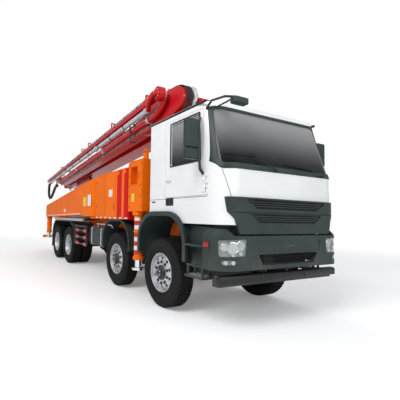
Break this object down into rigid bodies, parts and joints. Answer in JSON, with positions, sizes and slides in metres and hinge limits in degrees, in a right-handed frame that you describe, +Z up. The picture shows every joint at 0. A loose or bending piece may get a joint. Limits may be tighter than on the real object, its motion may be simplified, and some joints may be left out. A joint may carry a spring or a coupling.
{
  "type": "concrete pump truck",
  "caption": "Four-axle concrete pump truck with a folding boom, outriggers, steering wheels and opening doors.",
  "frame": {"origin": "on the ground below the middle of the truck's overall box", "axes": "+X forward, +Y to the truck's left, +Z up"},
  "size_m": [11.7998, 2.91, 3.9817],
  "materials": {
    "white_paint": "gloss white paint",
    "orange_paint": "gloss orange paint",
    "red_paint": "gloss red paint",
    "black_steel": "satin black chassis paint",
    "dark_plastic": "grained dark green-grey plastic",
    "trim_plastic": "cab trim",
    "grey_steel": "grey paint",
    "cast_metal": "bare cast metal",
    "tyre_rubber": "black rubber, silver steel wheel",
    "tinted_glass": "tinted glass",
    "lamp_lens": "clear lens",
    "bright_rod": "hard chrome",
    "hose_rubber": "black hose"
  },
  "bodies": {
    "truck": {"chassis_frame": "black_steel", "engine_block": "cast_metal", "front_axles": "black_steel", "rear_axles": "black_steel", "support_frame": "orange_paint", "side_boxes": "orange_paint", "pump_unit": "grey_steel", "hopper": "orange_paint", "mudguards": "dark_plastic", "side_guards": "black_steel", "front_bumper": "dark_plastic", "headlamps": "lamp_lens", "cab_shell": "white_paint", "cab_interior": "trim_plastic", "windshield": "tinted_glass", "screen_surround": "dark_plastic", "grille": "dark_plastic"},
    "door_left": {"door_left": "white_paint", "door_glass_left": "tinted_glass", "door_mirror_left": "dark_plastic"},
    "door_right": {"door_right": "white_paint", "door_glass_right": "tinted_glass", "door_mirror_right": "dark_plastic"},
    "hopper_grate": {"hopper_grate": "black_steel"},
    "knuckle_1_left": {"knuckle_1_left": "cast_metal"},
    "wheel_1_left": {"wheel_1_left": "tyre_rubber"},
    "knuckle_1_right": {"knuckle_1_right": "cast_metal"},
    "wheel_1_right": {"wheel_1_right": "tyre_rubber"},
    "knuckle_2_left": {"knuckle_2_left": "cast_metal"},
    "wheel_2_left": {"wheel_2_left": "tyre_rubber"},
    "knuckle_2_right": {"knuckle_2_right": "cast_metal"},
    "wheel_2_right": {"wheel_2_right": "tyre_rubber"},
    "wheel_3_left": {"wheel_3_left": "tyre_rubber"},
    "wheel_3_right": {"wheel_3_right": "tyre_rubber"},
    "wheel_4_left": {"wheel_4_left": "tyre_rubber"},
    "wheel_4_right": {"wheel_4_right": "tyre_rubber"},
    "front_outrigger_left": {"front_outrigger_left": "orange_paint", "outrigger_beam_left": "orange_paint"},
    "front_jack_left": {"front_jack_left": "bright_rod"},
    "rear_arm_left": {"rear_arm_left": "orange_paint"},
    "rear_jack_left": {"rear_jack_left": "bright_rod"},
    "front_outrigger_right": {"front_outrigger_right": "orange_paint", "outrigger_beam_right": "orange_paint"},
    "front_jack_right": {"front_jack_right": "bright_rod"},
    "rear_arm_right": {"rear_arm_right": "orange_paint"},
    "rear_jack_right": {"rear_jack_right": "bright_rod"},
    "turret": {"turret": "red_paint"},
    "boom_section_1": {"boom_section_1": "red_paint"},
    "boom_section_2": {"boom_section_2": "red_paint"},
    "boom_section_3": {"boom_section_3": "red_paint"},
    "boom_section_4": {"boom_section_4": "red_paint"},
    "boom_section_5": {"boom_section_5": "red_paint", "end_hose": "hose_rubber"},
    "lift_barrel": {"lift_barrel": "red_paint"},
    "lift_rod": {"lift_rod": "bright_rod"},
    "elbow_rod_2": {"elbow_rod_2": "bright_rod"},
    "elbow_rod_3": {"elbow_rod_3": "bright_rod"},
    "elbow_rod_4": {"elbow_rod_4": "bright_rod"},
    "elbow_rod_5": {"elbow_rod_5": "bright_rod"}
  },
  "joints": [
    {"name": "door_left_hinge", "type": "hinge", "parent": "truck", "child": "door_left", "pos_m": [5.518, 1.164, 1.955], "axis": [0, 0, -1], "range_deg": [0, 68]},
    {"name": "door_right_hinge", "type": "hinge", "parent": "truck", "child": "door_right", "pos_m": [5.518, -1.164, 1.955], "axis": [0, 0, 1], "range_deg": [0, 68]},
    {"name": "hopper_grate_hinge", "type": "hinge", "parent": "truck", "child": "hopper_grate", "pos_m": [-4.14, 0, 1.478], "axis": [0, 1, 0], "range_deg": [0, 80]},
    {"name": "steering_1_left", "type": "hinge", "parent": "truck", "child": "knuckle_1_left", "pos_m": [4.45, 0.905, 0.54], "axis": [0, 0, 1], "range_deg": [-35, 35]},
    {"name": "roll_1_left", "type": "hinge", "parent": "knuckle_1_left", "child": "wheel_1_left", "pos_m": [4.45, 1.025, 0.54], "axis": [0, 1, 0], "continuous": true},
    {"name": "steering_1_right", "type": "hinge", "parent": "truck", "child": "knuckle_1_right", "pos_m": [4.45, -0.905, 0.54], "axis": [0, 0, 1], "range_deg": [-35, 35]},
    {"name": "roll_1_right", "type": "hinge", "parent": "knuckle_1_right", "child": "wheel_1_right", "pos_m": [4.45, -1.025, 0.54], "axis": [0, 1, 0], "continuous": true},
    {"name": "steering_2_left", "type": "hinge", "parent": "truck", "child": "knuckle_2_left", "pos_m": [2.72, 0.905, 0.54], "axis": [0, 0, 1], "range_deg": [-22.75, 22.75]},
    {"name": "roll_2_left", "type": "hinge", "parent": "knuckle_2_left", "child": "wheel_2_left", "pos_m": [2.72, 1.025, 0.54], "axis": [0, 1, 0], "continuous": true},
    {"name": "steering_2_right", "type": "hinge", "parent": "truck", "child": "knuckle_2_right", "pos_m": [2.72, -0.905, 0.54], "axis": [0, 0, 1], "range_deg": [-22.75, 22.75]},
    {"name": "roll_2_right", "type": "hinge", "parent": "knuckle_2_right", "child": "wheel_2_right", "pos_m": [2.72, -1.025, 0.54], "axis": [0, 1, 0], "continuous": true},
    {"name": "roll_3_left", "type": "hinge", "parent": "truck", "child": "wheel_3_left", "pos_m": [-0.67, 0.92, 0.54], "axis": [0, 1, 0], "continuous": true},
    {"name": "roll_3_right", "type": "hinge", "parent": "truck", "child": "wheel_3_right", "pos_m": [-0.67, -0.92, 0.54], "axis": [0, 1, 0], "continuous": true},
    {"name": "roll_4_left", "type": "hinge", "parent": "truck", "child": "wheel_4_left", "pos_m": [-2.02, 0.92, 0.54], "axis": [0, 1, 0], "continuous": true},
    {"name": "roll_4_right", "type": "hinge", "parent": "truck", "child": "wheel_4_right", "pos_m": [-2.02, -0.92, 0.54], "axis": [0, 1, 0], "continuous": true},
    {"name": "front_outrigger_left_slide", "type": "slide", "parent": "truck", "child": "front_outrigger_left", "axis": [0, 1, 0], "range_m": [0, 1.3]},
    {"name": "front_jack_left_slide", "type": "slide", "parent": "front_outrigger_left", "child": "front_jack_left", "axis": [0, 0, -1], "range_m": [0, 0.5]},
    {"name": "rear_arm_left_swing", "type": "hinge", "parent": "truck", "child": "rear_arm_left", "pos_m": [1.2, 1.04, 1.84], "axis": [0, 0, -1], "range_deg": [0, 95]},
    {"name": "rear_jack_left_slide", "type": "slide", "parent": "rear_arm_left", "child": "rear_jack_left", "axis": [0, 0, -1], "range_m": [0, 0.6]},
    {"name": "front_outrigger_right_slide", "type": "slide", "parent": "truck", "child": "front_outrigger_right", "axis": [0, -1, 0], "range_m": [0, 1.3]},
    {"name": "front_jack_right_slide", "type": "slide", "parent": "front_outrigger_right", "child": "front_jack_right", "axis": [0, 0, -1], "range_m": [0, 0.5]},
    {"name": "rear_arm_right_swing", "type": "hinge", "parent": "truck", "child": "rear_arm_right", "pos_m": [1.2, -1.04, 1.84], "axis": [0, 0, 1], "range_deg": [0, 95]},
    {"name": "rear_jack_right_slide", "type": "slide", "parent": "rear_arm_right", "child": "rear_jack_right", "axis": [0, 0, -1], "range_m": [0, 0.6]},
    {"name": "slewing", "type": "hinge", "parent": "truck", "child": "turret", "pos_m": [3.15, 0, 2.095], "axis": [0, 0, 1], "range_deg": [-185, 185]},
    {"name": "boom_1_fold", "type": "hinge", "parent": "turret", "child": "boom_section_1", "pos_m": [4, 0, 3.559], "axis": [0, 1, 0], "range_deg": [0, 90]},
    {"name": "boom_2_fold", "type": "hinge", "parent": "boom_section_1", "child": "boom_section_2", "pos_m": [-5.24469, 0, 2.7502], "axis": [0, -1, 0], "range_deg": [0, 180]},
    {"name": "boom_3_fold", "type": "hinge", "parent": "boom_section_2", "child": "boom_section_3", "pos_m": [3.27259, 0, 3.84168], "axis": [0, 1, 0], "range_deg": [0, 180]},
    {"name": "boom_4_fold", "type": "hinge", "parent": "boom_section_3", "child": "boom_section_4", "pos_m": [-4.89228, 0, 3.08217], "axis": [0, -1, 0], "range_deg": [0, 180]},
    {"name": "boom_5_fold", "type": "hinge", "parent": "boom_section_4", "child": "boom_section_5", "pos_m": [3.62911, 0, 3.78253], "axis": [0, 1, 0], "range_deg": [0, 180]},
    {"name": "lift_cylinder_tilt", "type": "hinge", "parent": "turret", "child": "lift_barrel", "pos_m": [2.75, 0, 2.2], "axis": [0, -1, 0], "range_deg": [0, 10.32]},
    {"name": "lift_rod_slide", "type": "slide", "parent": "lift_barrel", "child": "lift_rod", "axis": [0.5928, 0, 0.8054], "range_m": [0, 0.8055]},
    {"name": "elbow_rod_2_slide", "type": "slide", "parent": "boom_section_1", "child": "elbow_rod_2", "axis": [0.9962, 0, 0.0872], "range_m": [0, 0.351]},
    {"name": "elbow_rod_3_slide", "type": "slide", "parent": "boom_section_2", "child": "elbow_rod_3", "axis": [-0.9962, 0, -0.0872], "range_m": [0, 0.351]},
    {"name": "elbow_rod_4_slide", "type": "slide", "parent": "boom_section_3", "child": "elbow_rod_4", "axis": [0.9962, 0, 0.0872], "range_m": [0, 0.351]},
    {"name": "elbow_rod_5_slide", "type": "slide", "parent": "boom_section_4", "child": "elbow_rod_5", "axis": [-0.9962, 0, -0.0872], "range_m": [0, 0.351]}
  ],
  "couplings": [
    {"joint": "steering_1_right", "follows": "steering_1_left", "ratio": 1},
    {"joint": "steering_2_left", "follows": "steering_1_left", "ratio": 0.65},
    {"joint": "steering_2_right", "follows": "steering_1_left", "ratio": 0.65},
    {"joint": "lift_cylinder_tilt", "follows": "boom_1_fold", "ratio": 0.11413},
    {"joint": "lift_rod_slide", "follows": "boom_1_fold", "m_per_rad": 0.51218},
    {"joint": "elbow_rod_2_slide", "follows": "boom_2_fold", "m_per_rad": 0.11141},
    {"joint": "elbow_rod_3_slide", "follows": "boom_3_fold", "m_per_rad": 0.11141},
    {"joint": "elbow_rod_4_slide", "follows": "boom_4_fold", "m_per_rad": 0.11141},
    {"joint": "elbow_rod_5_slide", "follows": "boom_5_fold", "m_per_rad": 0.11141}
  ]
}
